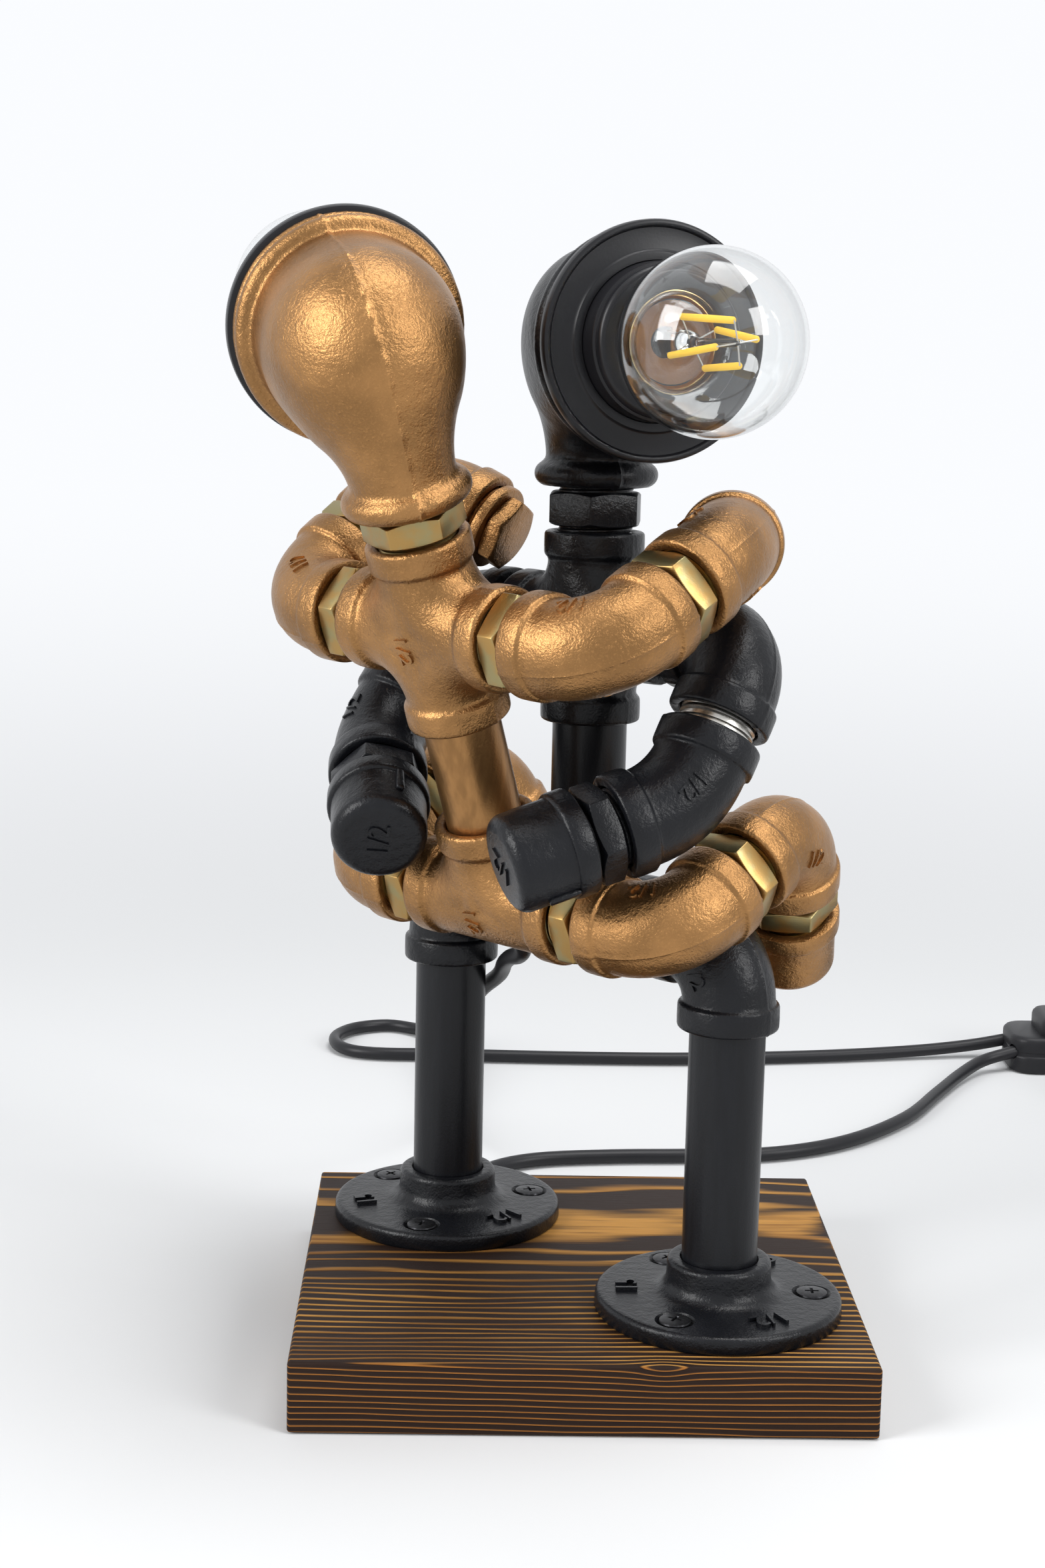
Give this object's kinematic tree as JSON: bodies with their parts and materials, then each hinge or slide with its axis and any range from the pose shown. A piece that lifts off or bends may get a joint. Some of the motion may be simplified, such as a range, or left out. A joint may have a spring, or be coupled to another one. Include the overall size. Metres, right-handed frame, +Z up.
{
  "type": "desk lamp",
  "caption": "Desk lamp of two pipe-fitting figures on a pine plate, one hugging the other, each head a reducing elbow with a globe bulb.",
  "frame": {"origin": "on the table under the centre of the plate", "axes": "+Z up, front of the plate is -Y, +X to the right seen from the front"},
  "size_m": [0.4048, 0.4107, 0.3233],
  "materials": {
    "pine_board": "brushed and burnt, waxed",
    "zinc_screws": "black zinc",
    "clear_glass": "clear blown glass",
    "brass_cap": "thin pressed cap",
    "filament_yellow": "phosphor coated sticks",
    "black_holder": "satin black",
    "black_rubber": "satin sheath",
    "black_switch": "moulded case",
    "bare_thread": "bright zinc",
    "yellow_zinc": "yellow passivated zinc",
    "bronze_paint": "metallic bronze lacquer over cast iron",
    "black_paint": "satin black lacquer over malleable iron"
  },
  "bodies": {
    "lamp": {"base_plate": "pine_board", "floor_flanges": "black_paint", "flange_screws": "zinc_screws", "leg_pipes": "black_paint", "hip_elbows": "black_paint", "hip_nipples": "black_paint", "hip_tee": "black_paint", "torso_pipe": "black_paint", "chest_cross": "black_paint", "neck_nipple": "black_paint", "shoulder_nipples": "black_paint", "rider_hip_tee": "bronze_paint", "rider_torso_pipe": "bronze_paint", "rider_chest_cross": "bronze_paint", "rider_hex_nipples": "yellow_zinc", "rider_flex": "black_rubber", "stander_flex": "black_rubber", "switch_body": "black_switch", "mains_flex": "black_rubber", "mains_coil": "black_rubber", "mains_plug": "black_rubber"},
    "head": {"head_casting": "black_paint", "head_ring": "black_holder", "head_lampholder": "black_holder", "head_bulb_glass": "clear_glass", "head_bulb_cap": "brass_cap", "head_filaments": "filament_yellow"},
    "arm_r": {"arm_r_elbow": "black_paint", "arm_r_nipple": "bare_thread"},
    "forearm_r": {"arm_r_forearm": "black_paint", "arm_r_hex": "black_paint", "arm_r_cap": "black_paint"},
    "arm_l": {"arm_l_elbow": "black_paint", "arm_l_nipple": "bare_thread"},
    "forearm_l": {"arm_l_forearm": "black_paint", "arm_l_hex": "black_paint", "arm_l_cap": "black_paint"},
    "rider_head": {"rider_head_casting": "bronze_paint", "rider_head_ring": "black_holder", "rider_head_lampholder": "black_holder", "rider_head_bulb_glass": "clear_glass", "rider_head_bulb_cap": "brass_cap", "rider_head_filaments": "filament_yellow"},
    "rider_leg_r": {"rider_leg_r_thigh": "bronze_paint", "rider_leg_r_hexes": "yellow_zinc", "rider_leg_r_shin": "bronze_paint", "rider_leg_r_foot": "bronze_paint"},
    "rider_leg_l": {"rider_leg_l_thigh": "bronze_paint", "rider_leg_l_hexes": "yellow_zinc", "rider_leg_l_shin": "bronze_paint", "rider_leg_l_foot": "bronze_paint"},
    "rider_arm_r": {"rider_arm_r_upper": "bronze_paint", "rider_arm_r_hex": "yellow_zinc"},
    "rider_hand_r": {"rider_arm_r_lower": "bronze_paint", "rider_arm_r_plug": "bronze_paint"},
    "rider_arm_l": {"rider_arm_l_upper": "bronze_paint", "rider_arm_l_hex": "yellow_zinc"},
    "rider_hand_l": {"rider_arm_l_lower": "bronze_paint", "rider_arm_l_plug": "bronze_paint"},
    "rocker": {"switch_rocker": "black_switch"}
  },
  "joints": [
    {"name": "head_turn", "type": "hinge", "parent": "lamp", "child": "head", "pos_m": [0.0005, 0.0025, 0.2486], "axis": [0, 0, 1], "range_deg": [-13, 45]},
    {"name": "arm_r_swing", "type": "hinge", "parent": "lamp", "child": "arm_r", "pos_m": [0.02439, -0.02098, 0.2091], "axis": [0.7133, -0.7009, 0], "range_deg": [-9, 1]},
    {"name": "forearm_r_turn", "type": "hinge", "parent": "arm_r", "child": "forearm_r", "pos_m": [0.03032, -0.04847, 0.18575], "axis": [-0.3869, -0.3937, -0.8339], "range_deg": [-80, 10]},
    {"name": "arm_l_swing", "type": "hinge", "parent": "lamp", "child": "arm_l", "pos_m": [-0.02125, 0.02388, 0.2091], "axis": [-0.7133, 0.7009, 0], "range_deg": [0, 15]},
    {"name": "forearm_l_turn", "type": "hinge", "parent": "arm_l", "child": "forearm_l", "pos_m": [-0.0514, 0.02673, 0.18767], "axis": [-0.4663, -0.4745, -0.7466], "range_deg": [0, 56]},
    {"name": "rider_head_turn", "type": "hinge", "parent": "lamp", "child": "rider_head", "pos_m": [-0.0506, -0.05247, 0.24571], "axis": [-0.2289, -0.2649, 0.9367], "range_deg": [-12, 45]},
    {"name": "rider_leg_r_swing", "type": "hinge", "parent": "lamp", "child": "rider_leg_r", "pos_m": [0.00286, -0.04633, 0.13411], "axis": [0.7223, -0.6913, -0.019], "range_deg": [0, 5]},
    {"name": "rider_leg_l_swing", "type": "hinge", "parent": "lamp", "child": "rider_leg_l", "pos_m": [-0.04986, 0.00413, 0.13549], "axis": [-0.7223, 0.6913, 0.019], "range_deg": [-12, 4]},
    {"name": "rider_arm_r_swing", "type": "hinge", "parent": "lamp", "child": "rider_arm_r", "pos_m": [-0.01818, -0.0681, 0.21174], "axis": [0.6989, -0.7145, -0.0313], "range_deg": [0, 9]},
    {"name": "rider_hand_r_turn", "type": "hinge", "parent": "rider_arm_r", "child": "rider_hand_r", "pos_m": [0.01984, -0.06445, 0.22642], "axis": [0.6446, 0.6104, 0.4603], "range_deg": [0, 50]},
    {"name": "rider_arm_l_swing", "type": "hinge", "parent": "lamp", "child": "rider_arm_l", "pos_m": [-0.06696, -0.01823, 0.21392], "axis": [-0.6989, 0.7145, 0.0313], "range_deg": [-18, 0]},
    {"name": "rider_hand_l_turn", "type": "hinge", "parent": "rider_arm_l", "child": "rider_hand_l", "pos_m": [-0.06313, 0.01756, 0.23339], "axis": [0.6048, 0.5671, 0.5592], "range_deg": [-44, 0]},
    {"name": "rocker_tilt", "type": "hinge", "parent": "lamp", "child": "rocker", "pos_m": [0.223, 0.279, 0.02], "axis": [0, 1, 0], "range_deg": [0, 11]}
  ]
}
